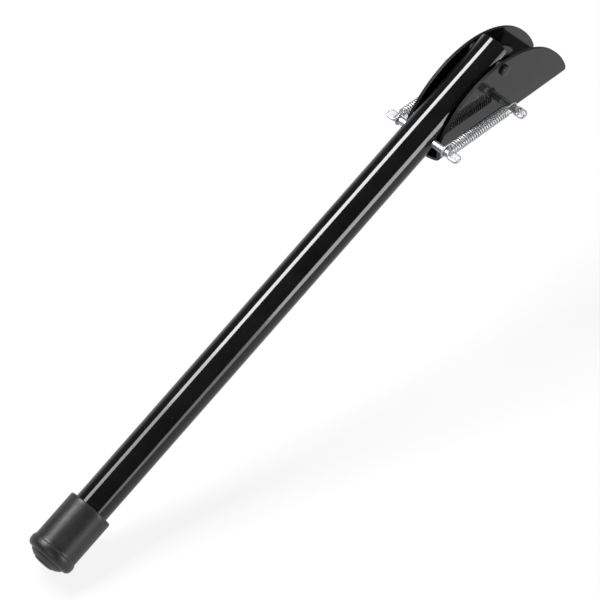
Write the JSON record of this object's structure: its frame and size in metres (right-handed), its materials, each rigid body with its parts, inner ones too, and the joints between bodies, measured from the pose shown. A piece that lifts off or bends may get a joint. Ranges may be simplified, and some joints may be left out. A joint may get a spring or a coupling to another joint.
{
  "type": "kickstand",
  "caption": "Folding side stand: a round leg with a rubber foot on a half-moon channel bracket, held either way past centre by paired extension springs",
  "frame": {"origin": "middle of the bracket's flat mounting face, the outside of the channel's web", "axes": "+X along the bracket towards its free end, -Z out of the mounting face (its outward normal), +Z towards the pivot, Y along the pivot pin; the leg is folded, pointing towards -X and 23.8 degrees below the mounting plane"},
  "size_m": [0.42, 0.0658, 0.1847],
  "materials": {
    "black_paint": "gloss black enamel over steel",
    "black_rubber": "matt black moulded rubber",
    "zinc_pin": "bright zinc plate on steel rod",
    "zinc_spring": "bright zinc plate on spring wire",
    "bare_steel": "plain steel"
  },
  "bodies": {
    "bracket": {"mounting_bracket": "black_paint", "pivot_pin": "black_paint", "upper_spring_pin": "zinc_pin"},
    "leg": {"leg_tube": "black_paint", "pivot_sleeve": "bare_steel", "rubber_foot": "black_rubber", "foot_disc": "bare_steel", "lower_spring_pin": "zinc_pin"},
    "left_spring": {"left_spring_coil": "zinc_spring"},
    "left_spring_end": {"left_spring_hook": "zinc_spring"},
    "right_spring": {"right_spring_coil": "zinc_spring"},
    "right_spring_end": {"right_spring_hook": "zinc_spring"}
  },
  "joints": [
    {"name": "leg_fold", "type": "hinge", "parent": "bracket", "child": "leg", "pos_m": [0, 0, 0.0398], "axis": [0, 1, 0], "range_deg": [0, 135]},
    {"name": "left_spring_swing", "type": "hinge", "parent": "bracket", "child": "left_spring", "pos_m": [0, 0, 0.0149], "axis": [0, 1, 0], "range_deg": [0, 104.66]},
    {"name": "left_spring_stretch", "type": "slide", "parent": "left_spring", "child": "left_spring_end", "axis": [-1, 0, 0.008], "range_m": [0, 0.02887], "deforming": ["left_spring_coil", "left_spring_hook"]},
    {"name": "right_spring_swing", "type": "hinge", "parent": "bracket", "child": "right_spring", "pos_m": [0, 0, 0.0149], "axis": [0, 1, 0], "range_deg": [0, 104.66]},
    {"name": "right_spring_stretch", "type": "slide", "parent": "right_spring", "child": "right_spring_end", "axis": [-1, 0, 0.008], "range_m": [0, 0.02887], "deforming": ["right_spring_coil", "right_spring_hook"]}
  ],
  "couplings": [
    {"joint": "left_spring_swing", "follows": "leg_fold", "ratio": 0.77487},
    {"joint": "left_spring_stretch", "follows": "leg_fold", "m_per_rad": 0.012244},
    {"joint": "right_spring_swing", "follows": "leg_fold", "ratio": 0.77487},
    {"joint": "right_spring_stretch", "follows": "leg_fold", "m_per_rad": 0.012244}
  ]
}
